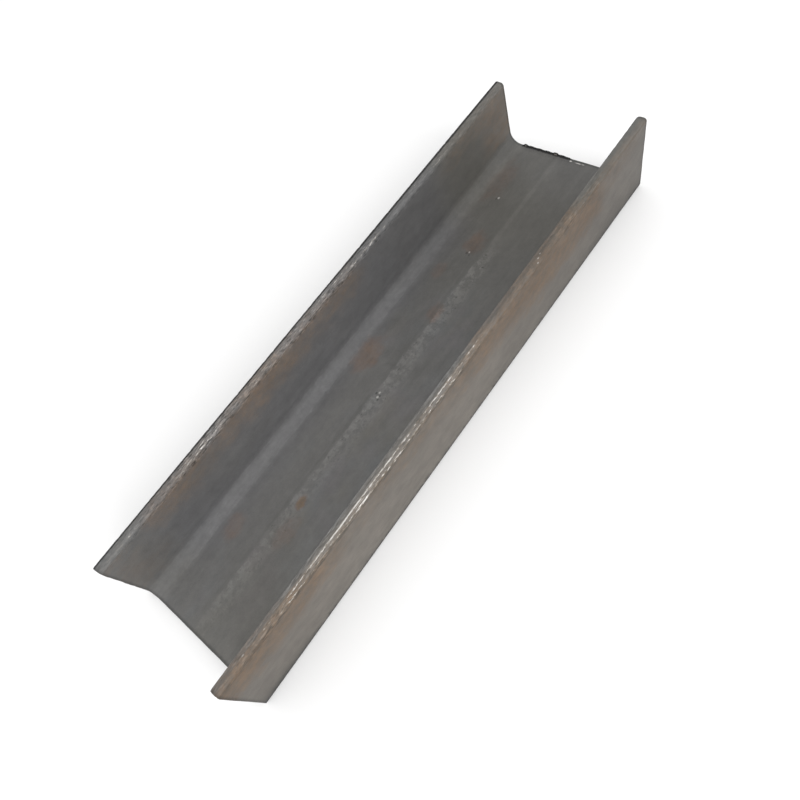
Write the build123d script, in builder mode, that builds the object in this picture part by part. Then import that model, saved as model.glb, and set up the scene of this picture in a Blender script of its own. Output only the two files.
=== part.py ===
from build123d import *
import os
from math import radians, tan

# Hot-rolled steel channel: one piece of stock with a flat web and two flanges of equal height.
# X runs across the web, Y along the length and Z up from the web's back to the toes.

# Sizes of the rolled section, in millimetres
overall_width = 100.0
flange_height = 50.0
web_thickness = 5.0
flange_thickness = 7.0
root_radius = 8.0
toe_inner_radius = 2.5
toe_outer_radius = 2.0
heel_radius = 2.0

# The lean of each flange's inner face away from upright, in degrees
flange_taper = 1.5

# Length between the two square cuts, in millimetres
length = 366.0

# A flange is as thick as stated halfway up, thicker at the root and thinner at the toe.
flange_middle = flange_height / 2
taper_slope = tan(radians(flange_taper))
toe_thickness = flange_thickness - (flange_height - flange_middle) * taper_slope
root_thickness = flange_thickness + (flange_middle - web_thickness) * taper_slope

# Corners of the right half of the section, from the heel up over the toe and down to the root
half_width = overall_width / 2
right_corners = [
    (half_width, 0),
    (half_width, flange_height),
    (half_width - toe_thickness, flange_height),
    (half_width - root_thickness, web_thickness),
]
left_corners = [(-x, z) for x, z in reversed(right_corners)]

with BuildPart() as channel:
    with BuildSketch(Plane.XZ) as section:
        with BuildLine():
            Polyline(*right_corners, *left_corners, close=True)
        make_face()
        # The levels, from below: heels, roots, toes
        fillet(section.vertices().group_by(Axis.Y)[1], radius=root_radius)
        toes = section.vertices().group_by(Axis.Y)[-1].sort_by(Axis.X)
        fillet([toes[1], toes[2]], radius=toe_inner_radius)
        toes = section.vertices().group_by(Axis.Y)[-1].sort_by(Axis.X)
        fillet([toes[0], toes[-1]], radius=toe_outer_radius)
        fillet(section.vertices().group_by(Axis.Y)[0], radius=heel_radius)
    extrude(amount=length / 2, both=True)

channel.part.label = "channel"

os.makedirs("parts", exist_ok=True)
export_step(channel.part, "parts/channel.step")
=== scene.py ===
from math import pi, radians, tan
from types import SimpleNamespace

import bmesh
import bpy
from mathutils import Matrix, Vector


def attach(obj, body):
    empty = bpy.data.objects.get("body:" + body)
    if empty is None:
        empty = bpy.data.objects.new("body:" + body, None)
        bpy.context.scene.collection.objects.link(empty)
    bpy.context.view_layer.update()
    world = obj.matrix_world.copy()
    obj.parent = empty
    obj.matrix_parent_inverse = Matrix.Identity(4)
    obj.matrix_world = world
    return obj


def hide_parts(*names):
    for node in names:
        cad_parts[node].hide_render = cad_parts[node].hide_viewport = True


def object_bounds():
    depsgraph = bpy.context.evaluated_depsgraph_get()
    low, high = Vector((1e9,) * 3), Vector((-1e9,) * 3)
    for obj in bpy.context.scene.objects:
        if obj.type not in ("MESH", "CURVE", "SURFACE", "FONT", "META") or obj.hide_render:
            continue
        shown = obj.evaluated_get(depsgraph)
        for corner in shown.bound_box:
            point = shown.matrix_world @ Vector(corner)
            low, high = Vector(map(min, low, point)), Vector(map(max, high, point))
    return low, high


# A short length of hot-rolled steel channel, lying on its web with the toes up.
# X runs across the web, Y along the length and Z up, in metres.

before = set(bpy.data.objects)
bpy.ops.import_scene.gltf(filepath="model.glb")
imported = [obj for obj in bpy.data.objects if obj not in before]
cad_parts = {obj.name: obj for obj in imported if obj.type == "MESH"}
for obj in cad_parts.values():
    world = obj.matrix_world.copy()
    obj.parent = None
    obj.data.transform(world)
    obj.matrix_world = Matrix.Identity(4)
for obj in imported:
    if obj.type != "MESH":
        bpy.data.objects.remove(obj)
cad_low, cad_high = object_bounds()
mm = 0.001

# Sizes of the rolled section
width = 100 * mm
height = 50 * mm
web_thickness = 5 * mm
flange_thickness = 7 * mm
root_radius = 8 * mm
toe_inner_radius = 2.5 * mm
toe_outer_radius = 2 * mm
heel_radius = 2 * mm
flange_taper = radians(1.5)

# The two cuts, and the length between them
near_end, far_end = cad_low.y, cad_high.y
length = far_end - near_end

# What follows from the section: the flange at its toe and root, and where the root fillets end
half_width = width / 2
toe_thickness = flange_thickness - (height / 2) * tan(flange_taper)
root_thickness = flange_thickness + (height / 2 - web_thickness) * tan(flange_taper)
leaning_corner = (pi / 2 + flange_taper) / 2
root = half_width - root_thickness
flat_web = root - root_radius / tan(leaning_corner)

# How finely the skin is divided, so that its waves and nicks are real shape
web_step = 1.0 * mm
flange_step = 2 * mm
row_count = 300
first_rows = 4
root_segments = 9
edge_segments = 4
rows_before_far_cut = (0.25 * mm, 0.55 * mm, 0.9 * mm)
smooth_below = radians(40)

# How much of a face's normal lies along an axis, at the least, where the face looks that way
facing = 0.9

# The scuffed stripe along the middle of the web: its middle, its full and faded half widths, and
# where it begins to fade along the length and has gone
scuff_middle = -2.4 * mm
scuff_full = 4.2 * mm
scuff_faded = 6.0 * mm
scuff_fading = 95 * mm
scuff_gone = 135 * mm

# The burr along the far cut of the web, in mm: where it runs and how high it stands, and each
# crumb on it, with how much higher that is
burr_run = (-33.2, 2.2)
burr_lift = 0.55
burr_reach = 0.7
crumbs = ((-32.6, -30.4, 0.75), (-28.4, -25.6, 0.3), (-22.6, -19.4, 0.2), (-16.5, -13.4, 0.3),
          (-10.2, -7.4, 0.8), (-4.6, -2.4, 0.25))
crumb_reach = 1.2

# Colours, as linear light
scale_grey = (0.116, 0.114, 0.110)
scale_blue = (0.111, 0.114, 0.115)
scale_warm = (0.119, 0.114, 0.102)
scale_cool = (0.1130, 0.1120, 0.1145)
scale_violet = (0.1170, 0.1115, 0.1125)
scale_tan = (0.127, 0.1135, 0.0975)
# Painted shade: the dark of the small hollows beside some glints
pit_shade_color = (0.030, 0.029, 0.029)
# Dark scale on the toe roundings, and painted shade on the burr
dark_scale_and_shade = (0.015, 0.0145, 0.0145)
rust_orange = (0.176, 0.117, 0.074)
rust_brown = (0.132, 0.100, 0.074)
rust_mauve = (0.138, 0.099, 0.092)
tan_edge = (0.235, 0.195, 0.150)
pale_edge = (0.230, 0.208, 0.183)
# Painted glints: the colour of bare steel, put where the toes and specks catch the light
bare_steel_glint = (0.64, 0.62, 0.59)
sawn_steel = (0.20, 0.195, 0.185)

# Blots on the skin, in mm: the centre, the radii and the strength of each
# Painted shade spots on the web
painted_shade_spots = (((-14, 14, 5), (8, 18, 6), 0.9), ((-4, 124, 5), (20, 16, 6), 0.7))
rust_blots = (((-28, 0, 5), (9, 15, 6), 0.62), ((-16, 100, 5), (7, 10, 6), 0.6),
              ((-2, -95, 5), (3, 5, 6), 0.95), ((2, -113, 5), (6, 13, 6), 0.4),
              ((-25, 72, 5), (5, 8, 6), 0.4), ((-8, 44, 5), (5, 8, 6), 0.5),
              ((-27, -128, 5), (6, 10, 6), 0.45), ((-30, 150, 5), (9, 20, 6), 0.4))
# Specks of bare steel whose brightness is partly a painted glint
bare_and_glint_specks = (((3.2, 181.0, 5), (0.9, 0.5, 1.5), 0.8), ((8.6, 180.9, 5), (2.0, 0.35, 1.5), 0.7),
                 ((12, 181, 5), (0.9, 0.4, 1), 0.4), ((-22.8, 136.6, 5), (0.6, 0.8, 1), 0.45),
                 ((-15.2, 91.6, 5), (0.5, 0.7, 1), 0.35), ((-4.2, -20, 5), (0.7, 0.9, 1), 0.5),
                 ((-4.8, -17, 5), (0.7, 0.8, 1), 0.45), ((47.4, 76, 50), (0.35, 0.7, 2), 0.35),
                 ((48.8, 73.5, 50), (0.35, 0.7, 2), 0.35), ((46.6, 79, 50), (0.3, 0.5, 2), 0.3),
                 ((47.1, -163, 50), (0.4, 0.9, 2), 0.28))
# Painted shade in small hollows beside some of the glints
pit_shade_spots = (((-6.3, -18.2, 5), (0.7, 1.0, 1), 0.7), ((-3.1, -21.3, 5), (0.7, 0.9, 1), 0.7),
             ((-3.3, -18.6, 5), (0.6, 0.7, 1), 0.6), ((-16.4, 90.4, 5), (0.8, 1.0, 1), 0.6),
             ((-14.2, 89.6, 5), (0.6, 0.9, 1), 0.5), ((-24.0, 135.4, 5), (0.6, 0.8, 1), 0.5))
blot_ragged = 0.3

# The camera that stands where the photograph's did, in metres, and its lens in mm
camera_place = Vector((0.1748, -0.0990, 0.3162))
camera_aim = Vector((0.0039, -0.0224, 0.0))
camera_roll = radians(-31.76)
focal_length = 28.25
sensor_width = 36
shift_right = 0.0153
shift_up = 0.0128

# The floor and the light
floor_size = 8
floor_gap = 0.1 * mm
floor_pale = 0.9
floor_dull = 0.9
lamp_place = (1.5, -0.2, 1.3)
lamp_aim = (0, 0, 0.03)
lamp_size = 1.5
lamp_watts = 20
surround_color = (1, 1, 1, 1)
surround_strength = 1.0


# Shaping

def near(a, b, slack=0.02 * mm):
    return abs(a - b) < slack


def edit(piece):
    """Opens a piece in edit mode, as the only one selected."""
    if bpy.context.mode != "OBJECT":
        bpy.ops.object.mode_set(mode="OBJECT")
    bpy.ops.object.select_all(action="DESELECT")
    bpy.context.view_layer.objects.active = piece
    piece.select_set(True)
    bpy.ops.object.mode_set(mode="EDIT")


def pick(piece, kind, wanted):
    """Selects just the faces, edges or corners of a piece that are wanted."""
    bpy.ops.mesh.select_mode(type=kind)
    bpy.ops.mesh.select_all(action="DESELECT")
    shape = bmesh.from_edit_mesh(piece.data)
    for part in {"VERT": shape.verts, "EDGE": shape.edges, "FACE": shape.faces}[kind]:
        if wanted(part):
            part.select_set(True)
    bmesh.update_edit_mesh(piece.data)


def runs_along(edge, x, z):
    """Whether an edge runs along the length at this place of the section, on either side."""
    a, b = edge.verts
    straight = near(a.co.x, b.co.x) and near(a.co.z, b.co.z)
    return straight and near(abs(a.co.x), x) and near(a.co.z, z)


def round_edges(piece, x, z, radius, half_corner, segments):
    pick(piece, "EDGE", lambda edge: runs_along(edge, x, z))
    bpy.ops.mesh.bevel(offset_type="OFFSET", offset=radius / tan(half_corner), segments=segments,
                       profile=0.5, affect="EDGES", clamp_overlap=False)


def cut_across(piece, places, normal, wanted):
    """Cuts the wanted faces by a plane at each place along the normal."""
    for place in places:
        pick(piece, "FACE", wanted)
        bpy.ops.mesh.bisect(plane_co=[place * n for n in normal], plane_no=normal)


def steps(start, end, step):
    count = max(1, round((end - start) / step))
    return [start + (end - start) * i / count for i in range(count + 1)]


def roll_section():
    """The channel's plain solid: a flat bar whose two edge strips are drawn up into flanges."""
    bpy.ops.object.select_all(action="DESELECT")
    bpy.ops.mesh.primitive_cube_add(size=1, location=(0, (near_end + far_end) / 2, web_thickness / 2),
                                    scale=(width, length, web_thickness))
    piece = bpy.context.object
    piece.name = piece.data.name = "rolled_channel"
    bpy.ops.object.transform_apply(location=True, rotation=True, scale=True)
    edit(piece)
    cut_across(piece, (-root, root), (1, 0, 0), lambda face: True)
    pick(piece, "FACE", lambda face: (
        face.normal.z > facing and abs(face.calc_center_median().x) > root))
    bpy.ops.mesh.extrude_region_move(TRANSFORM_OT_translate={"value": (0, 0, height - web_thickness)})
    for side in (-1, 1):
        pick(piece, "EDGE", lambda edge: (
            runs_along(edge, root, height) and edge.verts[0].co.x * side > 0))
        bpy.ops.transform.translate(value=(side * (root_thickness - toe_thickness), 0, 0))
    round_edges(piece, root, web_thickness, root_radius, leaning_corner, root_segments)
    round_edges(piece, half_width - toe_thickness, height, toe_inner_radius, leaning_corner,
                edge_segments)
    round_edges(piece, half_width, height, toe_outer_radius, pi / 4, edge_segments)
    round_edges(piece, half_width, 0, heel_radius, pi / 4, edge_segments)
    return piece


def divide_skin(piece):
    """Divides the long faces into a fine net, closer before the far cut, and leaves edit mode."""
    cut_across(piece, steps(-flat_web, flat_web, web_step)[1:-1], (1, 0, 0),
               lambda face: face.normal.z > facing and near(face.calc_center_median().z, web_thickness))
    cut_across(piece, steps(web_thickness + root_radius, height - toe_inner_radius, flange_step),
               (0, 0, 1), lambda face: abs(face.normal.x) > facing)
    for pieces, already in ((first_rows, 1), (row_count // first_rows, first_rows)):
        pick(piece, "EDGE", lambda edge: near(edge.calc_length(), length / already, slack=mm))
        bpy.ops.mesh.subdivide(number_cuts=pieces - 1)
    cut_across(piece, [far_end - back for back in rows_before_far_cut], (0, 1, 0),
               lambda face: face.calc_center_median().y > far_end - 2 * mm and abs(face.normal.y) < facing)
    bpy.ops.object.mode_set(mode="OBJECT")


def ease(value, empty, full):
    share = min(1.0, max(0.0, (value - empty) / (full - empty)))
    return share * share * (3 - 2 * share)


def weigh(piece, name, weight):
    """Names a part of the skin: each corner belongs to it by the weight of its place."""
    group = piece.vertex_groups.new(name=name)
    for corner in piece.data.vertices:
        share = weight(corner.co)
        if share > 0:
            group.add([corner.index], share, "REPLACE")


def dent(piece, name, weight, size, depth, detail, deep, flat):
    """Lets part of the skin down: by the depth where clouds are below deep, not at all above flat."""
    weigh(piece, name, weight)
    cloud = bpy.data.textures.new(name, "CLOUDS")
    cloud.noise_scale, cloud.noise_depth, cloud.use_color_ramp = size, detail, True
    for stop, place, shade in zip(cloud.color_ramp.elements, (deep, flat), (0, 1)):
        stop.position, stop.color = place, (shade, shade, shade, 1)
    dents = piece.modifiers.new(name, "DISPLACE")
    dents.texture, dents.texture_coords, dents.vertex_group = cloud, "LOCAL", name
    dents.strength, dents.mid_level = depth, 1.0
    bpy.ops.object.modifier_apply(modifier=name)


def above_heel(co):
    return ease(co.z, 0.5 * mm, 3 * mm)


def at_toe(co):
    start = height - toe_outer_radius
    return ease(co.z, start - 1.5 * mm, start + mm)


def in_scuff(co):
    across = ease(abs(co.x - scuff_middle), scuff_faded, scuff_full)
    return across * near(co.z, web_thickness, slack=0.4 * mm) * ease(co.y, scuff_gone, scuff_fading)


def at_cut(co, cut):
    return near(co.y, cut, slack=0.3 * mm)


def on_left_near_cut(co):
    return at_cut(co, near_end) * ease(co.x, -38 * mm, -42 * mm) * ease(co.z, mm, 4 * mm)


def on_cuts(co):
    return max(at_cut(co, near_end), at_cut(co, far_end)) * ease(co.z, 0, mm)


def roughen(piece):
    """Waves of the rolled skin, nicks along the toes, the scuffed stripe and the saw's wander."""
    dent(piece, "waves", above_heel, size=28 * mm, depth=0.10 * mm, detail=1, deep=0.2, flat=0.8)
    dent(piece, "toe_nicks", at_toe, size=2.4 * mm, depth=0.18 * mm, detail=3, deep=0.25, flat=0.45)
    dent(piece, "scuffs", in_scuff, size=2.8 * mm, depth=0.06 * mm, detail=2, deep=0.35, flat=0.6)
    dent(piece, "left_saw_wander", on_left_near_cut, size=6 * mm, depth=0.45 * mm, detail=1,
         deep=0.3, flat=0.7)
    dent(piece, "saw_wander", on_cuts, size=11 * mm, depth=0.12 * mm, detail=1, deep=0.25, flat=0.7)


def lift_lip(piece, low, high, lift, reach):
    """Raises the web's far edge between two places across it, and softly what is in reach, in mm."""
    pick(piece, "VERT", lambda corner: (
        corner.co.y > far_end - 0.5 * mm and low * mm < corner.co.x < high * mm
        and near(corner.co.z, web_thickness, slack=1.6 * mm)))
    bpy.ops.transform.translate(value=(0, 0, lift * mm), use_proportional_edit=True,
                                proportional_edit_falloff="SMOOTH", proportional_size=reach * mm)


def raise_burr(piece):
    """The ragged lip that the saw left standing along the far edge of the web."""
    edit(piece)
    lift_lip(piece, *burr_run, burr_lift, burr_reach)
    for low, high, lift in crumbs:
        lift_lip(piece, low, high, lift, crumb_reach)
    bpy.ops.object.mode_set(mode="OBJECT")


# Shader wiring

class Wiring:
    """Short ways to place and join the nodes of one shader tree."""

    def __init__(self, tree):
        self.tree = tree

    def put(self, kind, values=(), **settings):
        node = self.tree.nodes.new(kind if kind.startswith("Node") else "ShaderNode" + kind)
        for name, value in settings.items():
            setattr(node, name, value)
        for name, value in dict(values).items():
            self.feed(node.inputs[name], value)
        return node

    def feed(self, socket, value):
        """Joins a socket to another node's output, or gives it a plain value."""
        if isinstance(value, bpy.types.NodeSocket):
            self.tree.links.new(value, socket)
        elif socket.type == "RGBA" and len(value) == 3:
            socket.default_value = (*value, 1)
        else:
            socket.default_value = value

    def math(self, operation, *values, clamp=False):
        return self.put("Math", enumerate(values), operation=operation, use_clamp=clamp).outputs[0]

    def product(self, first, *others):
        for other in others:
            first = self.math("MULTIPLY", first, other)
        return first

    def most(self, first, *others):
        for other in others:
            first = self.math("MAXIMUM", first, other)
        return first

    def plus(self, first, value, amount):
        """The first with an amount of the value added to it."""
        return self.math("MULTIPLY_ADD", value, amount, first)

    def scaled(self, first, mask, amount):
        """The first, changed by a share of itself where the mask is full."""
        return self.math("MULTIPLY", first, self.math("MULTIPLY_ADD", mask, amount, 1.0))

    def vector(self, operation, *values):
        return self.put("VectorMath", enumerate(values), operation=operation).outputs[0]

    def stretched(self, value, low, high, to_low=0.0, to_high=1.0):
        """A value between low and high, moved evenly to lie between two others."""
        return self.put("MapRange", {"Value": value, "From Min": low, "From Max": high,
                                     "To Min": to_low, "To Max": to_high}).outputs["Result"]

    def fade(self, value, empty, full):
        """0 where the value is at empty, 1 where it is at full, smooth between."""
        return self.put("MapRange", {"Value": value, "From Min": empty, "From Max": full},
                        interpolation_type="SMOOTHSTEP").outputs["Result"]

    def between(self, value, low, high, soft):
        return self.product(self.fade(value, low - soft, low + soft),
                            self.fade(value, high + soft, high - soft))

    def number(self, share, a, b):
        """A number that goes from a to b as the share goes from 0 to 1."""
        return self.stretched(share, 0.0, 1.0, a, b)

    def blend(self, share, a, b, way="MIX"):
        node = self.put("Mix", data_type="RGBA", blend_type=way)
        for place, value in ((0, share), (6, a), (7, b)):
            self.feed(node.inputs[place], value)
        return node.outputs[2]

    def ramp(self, value, stops):
        """A strength given at a few places, smooth between them."""
        node = self.put("ValToRGB", {"Fac": value})
        scale = node.color_ramp
        scale.interpolation = "EASE"
        while len(scale.elements) < len(stops):
            scale.elements.new(1.0)
        for element, (where, strength) in zip(scale.elements, stops):
            element.position = where
            element.color = (strength, strength, strength, 1)
        return node.outputs["Color"]

    def shared(self, group, **values):
        """Places a shared effect, with each input named in small letters."""
        node = self.put("Group", node_tree=group)
        for name, value in values.items():
            self.feed(node.inputs[name.replace("_", " ").title()], value)
        return node.outputs


def new_group(name, inputs, outputs):
    """A shader group with named sockets: its wiring, what it is given and its results."""
    tree = bpy.data.node_groups.new(name, "ShaderNodeTree")
    for way, sockets in (("INPUT", inputs), ("OUTPUT", outputs)):
        for socket, kind in sockets.items():
            tree.interface.new_socket(name=socket, in_out=way, socket_type="NodeSocket" + kind)
    wiring = Wiring(tree)
    return wiring, wiring.put("NodeGroupInput").outputs, wiring.put("NodeGroupOutput").inputs, tree


# Shared effects, with sizes in mm

def make_mottle():
    """Cloudy unevenness from -1 to 1: patches of a size, drawn out along the length."""
    w, given, result, tree = new_group(
        "mottle", {"Place": "Vector", "Size": "Float", "Stretch": "Float", "Detail": "Float"},
        {"Value": "Float"})
    drawn_size = w.product(given["Size"], given["Stretch"])
    cell = w.put("CombineXYZ", {0: given["Size"], 1: drawn_size, 2: given["Size"]}).outputs[0]
    cloud = w.put("TexNoise", {"Vector": w.vector("DIVIDE", given["Place"], cell), "Scale": 1.0,
                               "Detail": given["Detail"], "Roughness": 0.6})
    w.feed(result["Value"], w.stretched(cloud.outputs[0], 0.25, 0.75, -1.0, 1.0))
    return tree


def make_stripe(mottle):
    """A stripe of the rolled surface with soft, ragged sides, as a mask."""
    w, given, result, tree = new_group(
        "stripe", {"Across": "Float", "Middle": "Float", "Half Width": "Float", "Soft": "Float",
                   "Ragged": "Float", "Place": "Vector"}, {"Mask": "Float"})
    tear = w.shared(mottle, place=given["Place"], size=3.0, stretch=2.5, detail=3.0)["Value"]
    moved = w.plus(given["Across"], tear, given["Ragged"])
    away = w.math("ABSOLUTE", w.math("SUBTRACT", moved, given["Middle"]))
    w.feed(result["Mask"], w.fade(away, w.math("ADD", given["Half Width"], given["Soft"]),
                                  w.math("SUBTRACT", given["Half Width"], given["Soft"])))
    return tree


def make_blot(mottle):
    """A ragged blot round a centre, as a mask."""
    w, given, result, tree = new_group(
        "blot", {"Place": "Vector", "Centre": "Vector", "Radii": "Vector", "Ragged": "Float"},
        {"Mask": "Float"})
    away = w.vector("DIVIDE", w.vector("SUBTRACT", given["Place"], given["Centre"]), given["Radii"])
    reach = w.put("VectorMath", {0: away}, operation="LENGTH").outputs["Value"]
    tear = w.shared(mottle, place=given["Place"], size=5.0, stretch=1.4, detail=4.0)["Value"]
    w.feed(result["Mask"], w.fade(w.plus(reach, tear, given["Ragged"]), 1.35, 0.45))
    return tree


def make_rust(mottle):
    """Thin rust: where a film of a given strength shows through the scale, and its colour."""
    w, given, result, tree = new_group(
        "rust_film", {"Place": "Vector", "Amount": "Float"}, {"Share": "Float", "Color": "Color"})
    patch = w.shared(mottle, place=given["Place"], size=8.0, stretch=1.8, detail=5.0)["Value"]
    grain = w.shared(mottle, place=given["Place"], size=0.8, stretch=1.4, detail=2.0)["Value"]
    level = w.plus(w.plus(w.number(given["Amount"], -0.8, 0.9), patch, 0.4), grain, 0.18)
    deep = w.shared(mottle, place=given["Place"], size=3.5, stretch=1.6, detail=4.0)["Value"]
    shown = w.fade(given["Amount"], 0.0, 0.35)
    w.feed(result["Share"], w.product(w.fade(level, -1.0, 1.1), shown))
    orange = w.fade(w.plus(deep, grain, 0.3), -0.7, 0.7)
    w.feed(result["Color"], w.blend(orange, rust_brown, rust_orange))
    return tree


def make_flecks(mottle):
    """Fine light and dark flecks, thick in some places and thin in others, as two masks."""
    w, given, result, tree = new_group(
        "flecks", {"Place": "Vector", "Size": "Float", "Stretch": "Float"},
        {"Light": "Float", "Dark": "Float"})
    fine = w.shared(mottle, place=given["Place"], size=given["Size"], stretch=given["Stretch"],
                    detail=1.0)["Value"]
    thick = w.shared(mottle, place=given["Place"], size=4.0, stretch=1.5, detail=2.0)["Value"]
    w.feed(result["Light"], w.fade(w.plus(fine, thick, 0.35), 0.15, 0.75))
    w.feed(result["Dark"], w.fade(w.plus(fine, thick, -0.35), -0.15, -0.75))
    return tree


def make_rubbed_glints(mottle):
    """A worn bright line along an edge, broken into dashes: all of it, and its brightest parts, which are
    painted glints.
    """
    w, given, result, tree = new_group(
        "rubbed_line_and_glints", {"Across": "Float", "Middle": "Float", "Half Width": "Float",
                        "Strength": "Float", "Place": "Vector"}, {"Line": "Float", "Bright": "Float"})
    wander = w.shared(mottle, place=given["Place"], size=6.0, stretch=2.0, detail=3.0)["Value"]
    jitter = w.shared(mottle, place=given["Place"], size=0.6, stretch=2.5, detail=2.0)["Value"]
    moved = w.plus(w.plus(given["Across"], wander, 0.12), jitter, 0.1)
    away = w.math("ABSOLUTE", w.math("SUBTRACT", moved, given["Middle"]))
    line = w.fade(away, given["Half Width"], w.product(given["Half Width"], 0.3))
    dash = w.shared(mottle, place=given["Place"], size=0.5, stretch=6.0, detail=2.0)["Value"]
    run = w.shared(mottle, place=given["Place"], size=6.0, stretch=2.5, detail=2.0)["Value"]
    level = w.plus(w.plus(w.number(given["Strength"], -1.2, 0.55), dash, 0.85), run, 0.65)
    line = w.product(line, w.fade(given["Strength"], 0.0, 0.25))
    w.feed(result["Line"], w.product(line, w.fade(level, -0.5, 0.3)))
    w.feed(result["Bright"], w.product(line, w.fade(level, 0.1, 0.75)))
    return tree


def make_effects():
    mottle = make_mottle()
    return SimpleNamespace(mottle=mottle, stripe=make_stripe(mottle), blot=make_blot(mottle),
                           rust=make_rust(mottle), flecks=make_flecks(mottle),
                           rubbed_and_glint=make_rubbed_glints(mottle))


# Finishes, with sizes and places in mm

def new_material(name):
    material = bpy.data.materials.new(name)
    material.use_nodes = True
    return material, material.node_tree.nodes["Principled BSDF"]


class Skin(Wiring):
    """The wiring of one finish of the channel, with its places in mm and the effects that it uses."""

    def __init__(self, tree, effects):
        super().__init__(tree)
        self.effects = effects
        metres = self.put("TexCoord").outputs["Object"]
        self.place = self.vector("MULTIPLY", metres, (1 / mm, 1 / mm, 1 / mm))
        self.x, self.y, self.z = self.put("SeparateXYZ", {0: self.place}).outputs

    def along(self, *stops):
        """A strength that changes along the length, from 0 at the near end to 1 at the far end."""
        return self.ramp(self.share_along, stops)

    def cloudy(self, size, stretch, detail=3.0, place=None):
        place = self.place if place is None else place
        return self.shared(self.effects.mottle, place=place, size=size, stretch=stretch,
                           detail=detail)["Value"]

    def stripe(self, across, middle, half_width, soft, ragged):
        return self.shared(self.effects.stripe, across=across, middle=middle, half_width=half_width,
                           soft=soft, ragged=ragged, place=self.place)["Mask"]

    def blot(self, centre, radii):
        return self.shared(self.effects.blot, place=self.place, centre=centre, radii=radii,
                           ragged=blot_ragged)["Mask"]

    def flecks(self, size, stretch):
        return self.shared(self.effects.flecks, place=self.place, size=size, stretch=stretch)


def find_zones(s):
    """The share of the length, and masks for the sides, web, inner and outer faces and toes."""
    s.share_along = s.stretched(s.y, near_end / mm, far_end / mm)
    s.side = s.math("ABSOLUTE", s.x)
    # Grows from the web's middle up the flange to the toe
    s.inside = s.math("ADD", s.side, s.z)
    s.left = s.math("LESS_THAN", s.x, 0.0)
    s.right = s.math("GREATER_THAN", s.x, 0.0)
    s.outer = s.fade(s.side, 49.3, 49.7)
    s.upper = s.fade(s.z, 1.5, 3.5)
    s.inner = s.product(s.math("SUBTRACT", 1.0, s.outer), s.upper)
    s.on_web = s.product(s.fade(s.z, 9.0, 6.0), s.upper)
    s.on_toe = s.fade(s.z, 47.2, 48.2)
    s.flange_inside = s.product(s.inner, s.fade(s.side, 41.5, 42.2))


def spread_patterns(s):
    """The cloudy patterns that the marks share, and the two kinds of flecks."""
    s.clouds = s.cloudy(22.0, 2.0, 4.0)
    s.patches = s.cloudy(6.0, 1.6)
    s.tear = s.cloudy(3.0, 2.5)
    s.clumps = s.cloudy(2.9, 1.3, 3.5)
    s.rough = s.cloudy(1.7, 1.3)
    s.streaks = s.cloudy(1.2, 25.0, 2.0)
    s.grain = s.cloudy(0.75, 1.2, 2.0)
    s.fine = s.flecks(0.95, 1.4)
    s.drawn = s.flecks(0.85, 4.5)


def slow_tone(s):
    """How light the skin is painted: a slow change along the length, darker towards the far end, clouded
    at every size.
    """
    tone = s.along((0, 0.94), (0.08, 0.99), (0.24, 1.05), (0.45, 1.02), (0.65, 0.89), (0.76, 0.82),
                   (0.88, 0.78), (0.95, 0.83), (1, 0.77))
    for pattern, amount in ((s.clouds, 0.09), (s.patches, 0.10), (s.clumps, 0.055),
                            (s.streaks, 0.04), (s.grain, 0.07)):
        tone = s.scaled(tone, pattern, amount)
    return tone


def root_painted_shading(s):
    """Painted shade over each fillet's crown (46), and painted light beside it, from the web (36) to the
    flange (57).
    """
    root_shading = s.stretched(s.plus(s.inside, s.tear, 0.7), 32.0, 64.0)
    root_shading = s.ramp(root_shading, ((0, 1.0), (0.12, 1.02), (0.22, 1.14), (0.31, 1.01), (0.43, 0.81),
                           (0.52, 0.86), (0.61, 0.95), (0.68, 0.97), (0.79, 1.09), (1, 1.02)))
    return s.number(s.inner, 1.0, root_shading)


# The marks: each function gives masks, with the share by which each lightens or darkens the scale; many of
# them paint light and shade onto it

def root_band_and_shade(s):
    """A ragged lighter band over each root, partly the skin's own and partly painted light, and painted
    shade beside it.
    """
    band = s.stripe(s.inside, middle=45.6, half_width=6.1, soft=0.35, ragged=1.1)
    band = s.product(band, s.inner, s.along(
        (0, 0.35), (0.08, 1), (0.46, 1), (0.54, 0.8), (0.62, 1), (0.75, 0.6), (0.84, 0.55), (1, 0.5)))
    # Painted shade at the foot of the fillet
    line = s.stripe(s.side, middle=32.0, half_width=1.6, soft=1.2, ragged=0.8)
    line = s.product(line, s.on_web, s.along((0, 0), (0.06, 0.8), (0.7, 0.9), (1, 0.3)))
    return (band, 0.16), (s.product(band, s.clumps), 0.08), (line, -0.04)


def web_painted_shading(s):
    """Painted light on the web's sides where the flanges shade it, and painted shade over a stretch and in
    spots.
    """
    both_sides = s.product(s.fade(s.side, 8.0, 26.0), s.on_web)
    right_side = s.product(s.fade(s.x, 9.0, 15.0), s.on_web, s.along(
        (0, 0.9), (0.1, 1.8), (0.35, 1.7), (0.5, 0.9), (0.9, 0.6), (0.95, 1.7), (1, 1.8)))
    left_side = s.product(s.between(s.x, -30.0, -10.0, 4.0), s.on_web,
                          s.along((0.5, 0), (0.6, 1), (0.9, 1), (1, 0.5)))
    # Painted shade spots
    dull = 0.0
    for centre, radii, strength in painted_shade_spots:
        dull = s.most(dull, s.product(s.blot(centre, radii), strength))
    return (both_sides, 0.08), (right_side, 0.07), (left_side, -0.08), (dull, -0.08)


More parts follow.
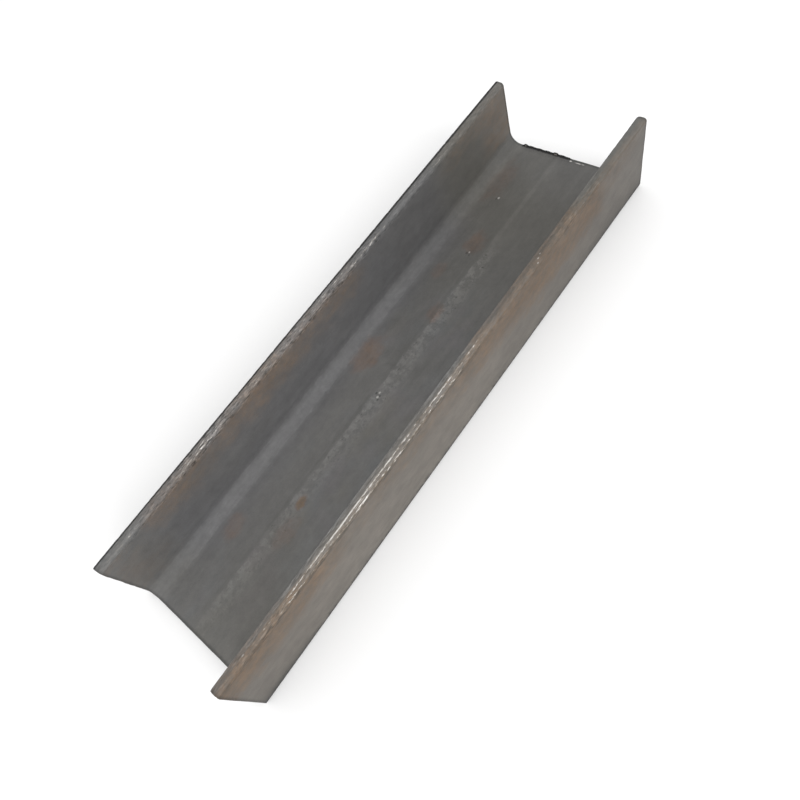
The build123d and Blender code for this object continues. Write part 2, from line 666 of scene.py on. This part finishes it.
def scuff_marks_and_shade(s):
    """The scuffed stripe along the middle of the web, sharp on the left and fading to the right, with a
    painted shadow by it and painted shade and highlights on small hollows.
    """
    moved = s.plus(s.x, s.tear, 1.3)
    s.scuff_band = s.product(s.fade(moved, -7.9, -7.0), s.fade(moved, 4.5, -0.5), s.on_web)
    scuff = s.product(s.scuff_band, s.along(
        (0, 0.3), (0.1, 0.65), (0.3, 0.7), (0.45, 1.1), (0.74, 1.25), (0.79, 0.15), (1, 0.1)))
    edge = s.stripe(s.x, middle=-5.2, half_width=1.9, soft=0.6, ragged=0.8)
    edge = s.product(edge, s.on_web, s.along(
        (0, 0.2), (0.1, 0.8), (0.4, 0.8), (0.5, 0.5), (0.76, 0.5), (0.8, 0.1)))
    tail = s.stripe(s.x, middle=-5.6, half_width=1.4, soft=0.6, ragged=0.35)
    tail = s.product(tail, s.on_web, s.along((0.75, 0), (0.8, 1), (0.97, 1), (1, 0.7)))
    shade = s.stripe(s.x, middle=-9.0, half_width=1.0, soft=0.8, ragged=0.8)
    shade = s.product(shade, s.on_web, s.along((0, 0), (0.14, 0.6), (0.35, 1), (0.7, 1), (0.8, 0.4)))
    flakes = s.fade(s.plus(s.cloudy(4.6, 1.1), s.rough, 0.25), -0.3, 0.3)
    # Painted shade in small hollows, with a painted highlight on the rim beside each
    pit_shade = s.product(scuff, s.fade(s.rough, -0.62, -0.8))
    beside = s.vector("ADD", s.place, (0.9, 1.1, 0.0))
    pit_rim_highlights = s.product(scuff, s.fade(s.cloudy(1.7, 1.3, place=beside), -0.62, -0.8))
    return ((scuff, 0.03), (s.product(scuff, flakes), 0.2), (edge, 0.06),
            (s.product(edge, flakes), 0.14), (shade, -0.11), (tail, 0.13), (pit_shade, -0.45),
            (pit_rim_highlights, 0.4), (s.product(scuff, s.fine["Light"]), 0.08),
            (s.product(scuff, s.fine["Dark"]), -0.08))


def flange_marks(s):
    """The left flange's inner face, lighter over the middle of the length."""
    mid_length = s.along((0, 0), (0.08, 0), (0.25, 1), (0.6, 1), (0.8, 0))
    low = s.product(s.between(s.z, 12.0, 30.0, 3.0), s.flange_inside, s.left, mid_length)
    high = s.product(s.fade(s.z, 22.0, 34.0), s.flange_inside, s.left, mid_length)
    return (low, 0.035), (high, 0.03)


def heel_painted_shade(s):
    """Painted shade along each heel, where it curves under: a dark ragged line, with flecks and shade
    above it.
    """
    torn = s.plus(s.plus(s.z, s.rough, 1.3), s.clumps, 0.9)
    right_line = s.along((0, 1.35), (0.1, 1), (0.88, 1), (1, 1.4))
    line = s.product(s.fade(torn, 4.3, 2.3), s.fade(s.side, 46, 48), s.number(s.left, right_line, 0.45))
    zone = s.product(s.fade(s.plus(s.z, s.rough, 2.0), 6.5, 2.5), s.outer)
    shade = s.product(s.fade(s.z, 11.0, 3.0), s.outer)
    ends = s.product(shade, s.along(
        (0, 1.5), (0.08, 1.35), (0.14, 0.3), (0.24, 0.2), (0.3, 0), (0.78, 0), (0.84, 0.4), (0.9, 0.75),
        (1, 0.9)))
    rise = s.product(s.fade(s.z, 5.0, 3.0), s.outer,
                     s.along((0.28, 0), (0.34, 0.4), (0.44, 0.2), (0.54, 1), (0.64, 0.7), (0.72, 0)))
    return ((line, -0.6), (s.product(zone, s.fine["Dark"]), -0.45),
            (s.product(zone, s.fine["Light"]), 0.15), (shade, -0.16), (ends, -0.3), (rise, 0.12))


def outer_marks(s):
    """The outer faces: darker than the inner ones, above all at the ends and by the toe."""
    ends = s.product(s.outer, s.along((0, 1), (0.08, 0.9), (0.14, 0), (0.86, 0), (0.93, 1), (1, 1)))
    top = s.product(s.outer, s.fade(s.z, 31.0, 36.0),
                    s.along((0, 0.3), (0.15, 1), (0.5, 1), (0.6, 0.6), (0.85, 0.5)))
    lower = s.product(s.outer, s.fade(s.z, 36.0, 26.0),
                      s.along((0.58, 0), (0.64, 0.3), (0.75, 0.6), (0.95, 1), (1, 1)))
    return ((s.product(s.outer, s.upper), -0.09), (s.product(s.outer, s.patches), 0.08), (ends, -0.08),
            (top, -0.08), (lower, -0.07))


def left_toe_marks(s):
    """The left toe: a darker outer half, and stretches where less painted light lies on the inner half."""
    lift = s.product(s.left, s.toe_lift, s.along(
        (0, 0.6), (0.14, 1.5), (0.24, 0), (0.34, 1.2), (0.44, 0), (0.56, 0.2), (0.64, 1.8), (0.7, 0.5),
        (0.84, 0.7), (1, 0.4)))
    outer_half = s.product(s.left, s.fade(s.z, 48.0, 49.0), s.fade(s.side, 44.8, 46.8), s.along(
        (0, 0.3), (0.4, 0.4), (0.55, 0.7), (0.62, 0.9), (0.72, 0.7), (0.95, 0)))
    return (lift, -0.06), (outer_half, -0.2)


def right_toe_marks(s):
    """The right toe: painted light on the inner rounding, painted shade in the groove beside it, and a
    darker outer corner.
    """
    inner = s.product(s.right, s.fade(s.z, 47.0, 48.0), s.fade(s.side, 45.6, 44.4), s.along(
        (0, 0), (0.08, 0.3), (0.14, 0.9), (0.2, 1.4), (0.45, 1.15), (0.57, 0.4), (0.75, 0.1),
        (0.85, 0.6)))
    groove = s.product(s.right, s.fade(s.z, 47.5, 48.5),
                       s.between(s.plus(s.side, s.rough, 0.3), 45.6, 47.1, 0.3),
                       s.along((0, 0.8), (0.2, 1), (0.45, 1.3), (0.75, 1.1), (0.85, 0.3)))
    corner = s.product(s.right, s.fade(s.side, 48.9, 49.6), s.fade(s.z, 45.5, 47.0),
                       s.along((0, 0.7), (0.15, 1), (0.5, 1), (0.62, 0.1), (0.75, 0)))
    top = s.product(s.right, s.fade(s.side, 46.2, 47.4), s.fade(s.z, 45.5, 47.5))
    darker_top = s.product(top, s.along((0.58, 0), (0.64, 0.5), (0.74, 1), (0.8, 0)))
    lighter_top = s.product(top, s.along((0.78, 0), (0.84, 1), (1, 1.2)))
    return (inner, 0.34), (groove, -0.22), (corner, -0.22), (darker_top, -0.1), (lighter_top, 0.06)


def toe_marks(s):
    """What both toes share: painted light on the inner half, and drawn-out flecks."""
    s.toe_lift = s.product(s.fade(s.z, 46.5, 48.5), s.between(s.side, 43.3, 47.0, 0.6))
    right_flecks = s.along((0, 0.6), (0.14, 1), (0.5, 0.9), (0.58, 0.35), (0.72, 0.35), (0.79, 0.7),
                           (0.86, 0.5), (0.9, 0.2))
    left_flecks = s.along((0, 0.5), (0.14, 1), (0.21, 1.9), (0.28, 1.1), (0.5, 1.3), (0.62, 1.3),
                          (0.7, 0.6), (1, 0.5))
    s.toe_flecks = s.product(s.fade(s.z, 44.5, 48.0), s.number(s.left, right_flecks, left_flecks))
    return ((s.toe_lift, 0.04), (s.product(s.toe_flecks, s.drawn["Light"]), 0.5),
            (s.product(s.toe_flecks, s.drawn["Dark"]), -0.4))


def cut_marks(s):
    """The rims of the two cuts, darker."""
    to_cut = s.math("SUBTRACT", far_end / mm, s.plus(s.math("ABSOLUTE", s.y), s.rough, 0.25))
    return ((s.product(s.fade(to_cut, 2.3, 0.6), s.upper), -0.45),)


# The colours of the rolled skin, laid over each other, with painted glints and painted shade among them

def tint_scale(s, tone):
    """The scale's own tint, which drifts between grey, blue-grey and brown-grey."""
    cool = s.product(s.left, s.inner, s.fade(s.inside, 22.0, 42.0),
                     s.along((0.04, 0), (0.12, 0.8), (0.76, 0.8), (0.84, 0.2), (0.9, 0)))
    far_cool = s.product(s.on_web, s.fade(s.x, -14.0, 2.0), s.along((0.85, 0), (0.91, 0.7), (1, 0.8)))
    violet = s.product(s.fade(s.cloudy(26.0, 1.5, 2.0), 0.05, 0.7), s.on_web, 0.8)
    far_brown = s.along((0, 0), (0.6, 0.1), (0.7, 0.5), (0.85, 1), (1, 0.5))
    warm = s.most(s.fade(s.cloudy(30.0, 2.0), 0.0, 1.0), far_brown)
    warm = s.product(warm, s.math("SUBTRACT", 1.0, cool))
    near_warm = s.product(s.on_web, s.fade(s.x, -16.0, 0.0),
                          s.along((0.08, 0.65), (0.18, 0.4), (0.26, 0)))
    color = s.blend(s.fade(s.cloudy(18.0, 2.5), -0.3, 1.0), scale_grey, scale_blue)
    color = s.blend(violet, color, scale_violet)
    color = s.blend(s.most(cool, far_cool), color, scale_cool)
    color = s.blend(s.most(warm, near_warm), color, scale_warm)
    color = s.blend(s.outer, color, scale_tan)
    return s.blend(1.0, color, tone, "MULTIPLY")


def rust_amount(s):
    """Where rust lies: under the left toe, on the outer faces, along the right toe and in blots."""
    under_toe = s.product(
        s.fade(s.plus(s.z, s.patches, 5.0), 22.0, 46.0), s.left, s.inner,
        s.number(s.fade(s.z, 46.5, 49.5), 1.0, 0.6),
        s.along((0, 0), (0.05, 0.15), (0.13, 0.55), (0.24, 0.45), (0.34, 0.75), (0.44, 0.5),
                (0.56, 0.45), (0.61, 0.1), (0.78, 0.05), (0.84, 0.35), (1, 0.42)))
    left_ends = s.product(
        s.fade(s.plus(s.z, s.patches, 4.0), 8.0, 16.0), s.left, s.inner, s.number(s.on_toe, 1.0, 0.3),
        s.along((0, 0.28), (0.07, 0.2), (0.12, 0), (0.89, 0), (0.95, 0.45), (1, 0.5)))
    reach_down = s.along((0.58, 0), (0.7, 0.9), (0.86, 1), (0.91, 0))
    outer = s.product(
        s.fade(s.plus(s.plus(s.z, s.patches, 5.0), reach_down, 8.0), 22.0, 46.0), s.outer,
        s.along((0, 0.95), (0.17, 0.85), (0.24, 0.35), (0.38, 0.4), (0.46, 0.5), (0.56, 0.9),
                (0.84, 0.9), (0.89, 0.35), (0.95, 0.3), (1, 0.15)))
    toe_inside = s.along((0, 0.7), (0.12, 0.3), (0.17, 0), (0.5, 0), (0.58, 0.9), (0.8, 0.9), (0.86, 0))
    right_toe = s.product(
        s.fade(s.z, 44.0, 47.5), s.right, s.most(s.fade(s.side, 45.5, 48.0), toe_inside),
        s.along((0, 0.85), (0.14, 0.8), (0.22, 0.3), (0.44, 0.3), (0.54, 0.6), (0.79, 0.7),
                (0.84, 0.35), (1, 0.25)))
    amount = s.most(under_toe, left_ends, outer, right_toe)
    for centre, radii, strength in rust_blots:
        amount = s.most(amount, s.product(s.blot(centre, radii), s.on_web, strength))
    return amount


def add_rust(s, color, tone):
    """Thin rust over the scale, more mauve in the fainter blots on the web."""
    amount = rust_amount(s)
    film = s.shared(s.effects.rust, place=s.place, amount=amount)
    mauve = s.product(s.on_web, s.fade(amount, 0.8, 0.5), 0.55)
    film_color = s.blend(1.0, s.blend(mauve, film["Color"], rust_mauve), tone, "MULTIPLY")
    s.rust_share = s.product(film["Share"], 0.85)
    return s.blend(s.rust_share, color, film_color)


def rub_toes_and_paint_glints(s, color):
    """Toes worn bright, with painted glints: thin lines over the right one, broken dashes along the left
    one.
    """
    right_wear_and_shine = s.product(s.right, s.along(
        (0, 0.3), (0.06, 0.4), (0.14, 0.65), (0.19, 1.0), (0.3, 1.0), (0.42, 0.85), (0.5, 0.9),
        (0.55, 0.65), (0.61, 0.2), (0.72, 0.12), (0.9, 0)))
    right_second = s.product(right_wear_and_shine, s.along(
        (0, 0.75), (0.24, 0.7), (0.33, 0.9), (0.44, 0.8), (0.56, 0.75), (0.61, 0.2), (1, 0)))
    left_wear_and_shine = s.product(s.left, s.along(
        (0, 0.1), (0.07, 0.65), (0.12, 0.35), (0.21, 0.85), (0.28, 0.35), (0.5, 0.4), (0.62, 0.75),
        (0.7, 0.3), (1, 0.1)))
    left_second = s.product(s.left, s.along(
        (0.1, 0), (0.16, 0.35), (0.21, 0.8), (0.28, 0.4), (0.45, 0.45), (0.53, 0.8), (0.6, 0.35),
        (1, 0.1)))
    lines, s.glints = 0.0, 0.0
    for middle, half_width, strength in (
            (47.8, 0.5, right_wear_and_shine), (49.5, 0.34, right_second),
            (48.6, 0.22, s.product(right_wear_and_shine, 0.55)),
            (44.5, 0.42, left_wear_and_shine), (46.0, 0.36, left_second)):
        line = s.shared(s.effects.rubbed_and_glint, across=s.side, middle=middle, half_width=half_width,
                        strength=strength, place=s.place)
        lines = s.most(lines, s.product(line["Line"], s.on_toe))
        s.glints = s.most(s.glints, s.product(line["Bright"], s.on_toe))
    worn = s.product(s.on_toe, s.between(s.side, 44.5, 49.6, 0.6),
                     s.math("ADD", right_wear_and_shine, left_wear_and_shine))
    worn_color = s.blend(s.left, tan_edge, pale_edge)
    color = s.blend(s.product(worn, s.number(s.left, 0.14, 0.04)), color, worn_color)
    color = s.blend(s.product(lines, 0.55), color, worn_color)
    return s.blend(s.glints, color, bare_steel_glint)


def darken_edges(s, color):
    """Dark scale on the roundings of the toes, and painted shade on the burr at the far edge of the web
    and behind it.
    """
    cut = far_end / mm
    outward = s.plus(s.plus(s.side, s.rough, 0.2), s.along((0.5, 0), (0.62, 1)), 0.45)
    left_toe = s.product(s.fade(outward, 47.5, 48.2), s.left,
                         s.fade(s.plus(s.plus(s.z, s.rough, 0.7), s.patches, 0.8), 46.8, 49.4),
                         s.number(s.fade(s.z, 49.3, 48.7), 1.0, 0.6))
    right_tip = s.product(s.fade(s.plus(s.side, s.rough, 0.3), 45.2, 44.5), s.right,
                          s.fade(s.plus(s.z, s.rough, 0.4), 46.5, 48.0),
                          s.fade(s.plus(s.y, s.clumps, 6.0), 130.0, 152.0))
    # Painted shade on the burr's front face, and on the band just behind it
    burr = s.product(s.fade(s.plus(s.y, s.rough, 0.5), cut - 2.2, cut - 1.2),
                     s.between(s.plus(s.x, s.clumps, 1.5), -34.0, 2.0, 0.5), s.on_web)
    burr_shade = s.product(s.fade(s.plus(s.y, s.rough, 1.2), cut - 5.0, cut - 2.5),
                       s.between(s.x, -33.5, 14.0, 1.0), s.on_web, s.most(s.fine["Dark"], 0.35))
    s.dark = s.most(s.product(left_toe, 0.9), s.product(right_tip, 0.7), s.product(burr, 0.85),
                    s.product(burr_shade, 0.45))
    return s.blend(s.dark, color, dark_scale_and_shade)


def add_specks(s, color):
    """Specks of bare steel with painted glints on the burr, the web and the right toe, and painted shade
    by some.
    """
    for specks, shade in ((bare_and_glint_specks, bare_steel_glint), (pit_shade_spots, pit_shade_color)):
        for centre, radii, strength in specks:
            color = s.blend(s.product(s.blot(centre, radii), strength), color, shade)
    return color


def rolled_skin(effects):
    """Mill scale with lighter root bands, scuffs and thin rust, as the rolls and the yard left it, and
    painted light, shade and glints.
    """
    material, shader = new_material("rolled_skin")
    s = Skin(material.node_tree, effects)
    find_zones(s)
    spread_patterns(s)
    tone = s.product(slow_tone(s), root_painted_shading(s))
    for marks in (root_band_and_shade, web_painted_shading, scuff_marks_and_shade, flange_marks, heel_painted_shade, outer_marks,
                  toe_marks, left_toe_marks, right_toe_marks, cut_marks):
        for mask, amount in marks(s):
            tone = s.scaled(tone, mask, amount)
    color = add_rust(s, tint_scale(s, tone), tone)
    color = add_specks(s, darken_edges(s, rub_toes_and_paint_glints(s, color)))
    s.feed(shader.inputs["Base Color"], color)
    dull = s.most(s.plus(s.number(s.rust_share, 0.56, 0.86), s.grain, 0.05), s.product(s.dark, 1.15))
    s.feed(shader.inputs["Roughness"], s.math("MULTIPLY_ADD", s.glints, -0.25, dull, clamp=True))
    s.feed(shader.inputs["Metallic"], s.product(s.glints, 0.6))
    relief = s.product(s.grain, 0.02)
    for pattern, depth in ((s.streaks, 0.012), (s.patches, 0.04),
                           (s.product(s.scuff_band, s.clumps), 0.04),
                           (s.product(s.rust_share, s.rough), 0.04),
                           (s.product(s.toe_flecks, s.grain), 0.05)):
        relief = s.plus(relief, pattern, depth)
    bump = s.put("Bump", {"Height": relief, "Strength": 1.0, "Distance": mm})
    s.feed(shader.inputs["Normal"], bump.outputs["Normal"])
    return material


def sawn_end(effects):
    """The cut faces: leaning saw lines, close ones over wider ones, dulled by thin rust."""
    material, shader = new_material("sawn_end")
    s = Skin(material.node_tree, effects)
    lean = s.plus(s.x, s.z, 0.22)

    def saw_lines(per_mm):
        stroke = s.put("CombineXYZ", {0: s.product(lean, per_mm), 2: s.product(s.z, 0.04)}).outputs[0]
        noise = s.put("TexNoise", {"Vector": stroke, "Scale": 1.0, "Detail": 2.0}).outputs[0]
        return s.stretched(noise, 0.3, 0.7, -1.0, 1.0)

    close, wide = saw_lines(3.2), saw_lines(0.8)
    clouds, grain = s.cloudy(7.0, 1.0, 4.0), s.cloudy(0.7, 1.0, 2.0)
    tone = 1.0
    for pattern, amount in ((close, 0.18), (wide, 0.14), (clouds, 0.10), (grain, 0.08)):
        tone = s.scaled(tone, pattern, amount)
    color = s.blend(1.0, sawn_steel, tone, "MULTIPLY")
    amount = s.math("MULTIPLY_ADD", clouds, 0.3, 0.42, clamp=True)
    film = s.shared(effects.rust, place=s.place, amount=amount)
    film_share = s.product(film["Share"], s.math("MULTIPLY_ADD", wide, -0.2, 0.55))
    color = s.blend(film_share, color, s.blend(1.0, film["Color"], tone, "MULTIPLY"))
    s.feed(shader.inputs["Base Color"], color)
    s.feed(shader.inputs["Roughness"], s.number(film_share, 0.42, 0.9))
    s.feed(shader.inputs["Metallic"], s.number(film_share, 0.5, 0.0))
    relief = s.plus(s.product(close, 0.03), wide, 0.05)
    bump = s.put("Bump", {"Height": relief, "Strength": 1.0, "Distance": mm})
    s.feed(shader.inputs["Normal"], bump.outputs["Normal"])
    return material


# The channel

def make_channel():
    channel = roll_section()
    divide_skin(channel)
    roughen(channel)
    raise_burr(channel)
    bpy.ops.object.shade_smooth_by_angle(angle=smooth_below)
    effects = make_effects()
    channel.data.materials.append(rolled_skin(effects))
    channel.data.materials.append(sawn_end(effects))
    for face in channel.data.polygons:
        face.material_index = int(abs(face.normal.y) > facing)
    return channel


channel = make_channel()
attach(channel, "root")
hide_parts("channel")


# Floor, light and camera

def lay_floor():
    bpy.ops.object.select_all(action="DESELECT")
    bpy.ops.mesh.primitive_plane_add(size=floor_size, location=(0, 0, -floor_gap))
    floor = bpy.context.object
    floor.name = "floor"
    pale, shader = new_material("pale_floor")
    shader.inputs["Base Color"].default_value = (floor_pale, floor_pale, floor_pale, 1)
    shader.inputs["Roughness"].default_value = floor_dull
    floor.data.materials.append(pale)
    return floor


def light_studio():
    """An even white surround, and one large soft lamp on the right."""
    studio = bpy.data.worlds.new("studio")
    bpy.context.scene.world = studio
    studio.use_nodes = True
    surround = studio.node_tree.nodes["Background"].inputs
    surround["Color"].default_value = surround_color
    surround["Strength"].default_value = surround_strength
    lamp = bpy.data.lights.new("key", "AREA")
    lamp.shape = "SQUARE"
    lamp.size = lamp_size
    lamp.energy = lamp_watts
    holder = bpy.data.objects.new("key", lamp)
    bpy.context.scene.collection.objects.link(holder)
    holder.location = lamp_place
    holder.rotation_euler = (Vector(lamp_aim) - Vector(lamp_place)).to_track_quat("-Z", "Y").to_euler()


def set_camera():
    lens = bpy.data.cameras.new("camera")
    lens.sensor_width = sensor_width
    lens.lens = focal_length
    lens.shift_x = shift_right
    lens.shift_y = shift_up
    camera = bpy.data.objects.new("camera", lens)
    bpy.context.scene.collection.objects.link(camera)
    turn = (camera_aim - camera_place).to_track_quat("-Z", "Y").to_matrix().to_4x4()
    camera.matrix_world = Matrix.Translation(camera_place) @ turn @ Matrix.Rotation(camera_roll, 4, "Z")
    bpy.context.scene.camera = camera
    bpy.context.scene.view_settings.view_transform = "Standard"


floor = lay_floor()
light_studio()
set_camera()
